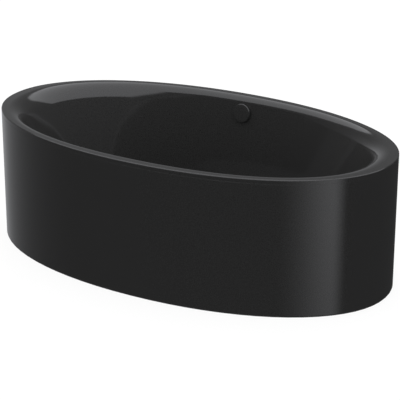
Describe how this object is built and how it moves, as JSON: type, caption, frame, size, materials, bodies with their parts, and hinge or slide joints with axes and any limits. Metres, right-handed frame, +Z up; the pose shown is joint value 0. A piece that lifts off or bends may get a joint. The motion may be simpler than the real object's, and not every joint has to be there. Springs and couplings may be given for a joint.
{
  "type": "freestanding bathtub",
  "caption": "Oval freestanding bathtub: an enamelled tub with sloping ends in a straight apron, with a turn-knob overflow, a cable-worked pop-up waste, a trap and levelling feet.",
  "frame": {"origin": "on the ground, under the middle of the bath's outline", "axes": "+Z up, +X along the bath's length, +Y towards the long side that carries the overflow"},
  "size_m": [1.8, 1, 0.575],
  "materials": {
    "black_enamel": "glossy vitreous enamel",
    "seal_rubber": "matt moulded rubber",
    "damping_mat": "matt pressed bitumen-rubber mat",
    "galvanised_steel": "spangled zinc",
    "zinc_fasteners": "bright zinc plate",
    "waste_plastic": "moulded, fine satin",
    "dark_plastic": "moulded, fine satin",
    "cable_sleeve": "extruded, satin",
    "chromed_brass": "polished"
  },
  "bodies": {
    "bath": {"tub": "black_enamel", "apron": "black_enamel", "base_seal": "seal_rubber", "rim_blocks": "galvanised_steel", "rim_bolts": "zinc_fasteners", "damping_mats": "damping_mat", "cross_rails": "galvanised_steel", "rail_pads": "seal_rubber", "tie_bar": "galvanised_steel", "tie_bolts": "zinc_fasteners", "foot_nuts": "zinc_fasteners", "foot_locknuts": "zinc_fasteners", "apron_stays": "galvanised_steel", "stay_bolts": "zinc_fasteners", "stay_nuts": "zinc_fasteners", "earth_lug": "zinc_fasteners", "overflow_front_seal": "seal_rubber", "overflow_rear_seal": "seal_rubber", "overflow_collar": "chromed_brass", "overflow_body": "waste_plastic", "overflow_hose": "dark_plastic", "hose_clips": "zinc_fasteners", "control_cable": "cable_sleeve", "waste_flange": "chromed_brass", "waste_top_seal": "seal_rubber", "waste_bottom_seal": "seal_rubber", "waste_body": "waste_plastic", "trap_body": "waste_plastic", "trap_cap": "dark_plastic", "pipe_nuts": "dark_plastic", "pipe_seals": "seal_rubber", "outlet_elbow": "waste_plastic"},
    "foot_1": {"foot_plate_1": "seal_rubber", "foot_spindle_1": "zinc_fasteners"},
    "foot_2": {"foot_plate_2": "seal_rubber", "foot_spindle_2": "zinc_fasteners"},
    "foot_3": {"foot_plate_3": "seal_rubber", "foot_spindle_3": "zinc_fasteners"},
    "foot_4": {"foot_plate_4": "seal_rubber", "foot_spindle_4": "zinc_fasteners"},
    "knob": {"overflow_knob": "black_enamel", "knob_spindle": "zinc_fasteners", "knob_screw": "zinc_fasteners"},
    "crank": {"lift_crank": "zinc_fasteners"},
    "lifter": {"lift_pin": "zinc_fasteners"},
    "plug": {"plug_cap": "black_enamel", "plug_stem": "chromed_brass", "plug_seal": "seal_rubber"}
  },
  "joints": [
    {"name": "foot_1_height", "type": "slide", "parent": "bath", "child": "foot_1", "axis": [0, 0, -1], "range_m": [-0.005, 0.015]},
    {"name": "foot_2_height", "type": "slide", "parent": "bath", "child": "foot_2", "axis": [0, 0, -1], "range_m": [-0.005, 0.015]},
    {"name": "foot_3_height", "type": "slide", "parent": "bath", "child": "foot_3", "axis": [0, 0, -1], "range_m": [-0.005, 0.015]},
    {"name": "foot_4_height", "type": "slide", "parent": "bath", "child": "foot_4", "axis": [0, 0, -1], "range_m": [-0.005, 0.015]},
    {"name": "knob_turn", "type": "hinge", "parent": "bath", "child": "knob", "pos_m": [0, 0.43682, 0.505], "axis": [0, -0.9903, 0.1392], "range_deg": [0, 100]},
    {"name": "crank_turn", "type": "hinge", "parent": "bath", "child": "crank", "pos_m": [0, -0.024, 0.048], "axis": [1, 0, 0], "range_deg": [0, 30]},
    {"name": "pin_lift", "type": "slide", "parent": "bath", "child": "lifter", "axis": [0, 0, 1], "range_m": [0, 0.012]},
    {"name": "plug_removal", "type": "slide", "parent": "lifter", "child": "plug", "axis": [0, 0, 1], "range_m": [0, 0.1]}
  ],
  "couplings": [
    {"joint": "crank_turn", "follows": "knob_turn", "ratio": 0.2999},
    {"joint": "pin_lift", "follows": "knob_turn", "m_per_rad": 0.0068748}
  ]
}
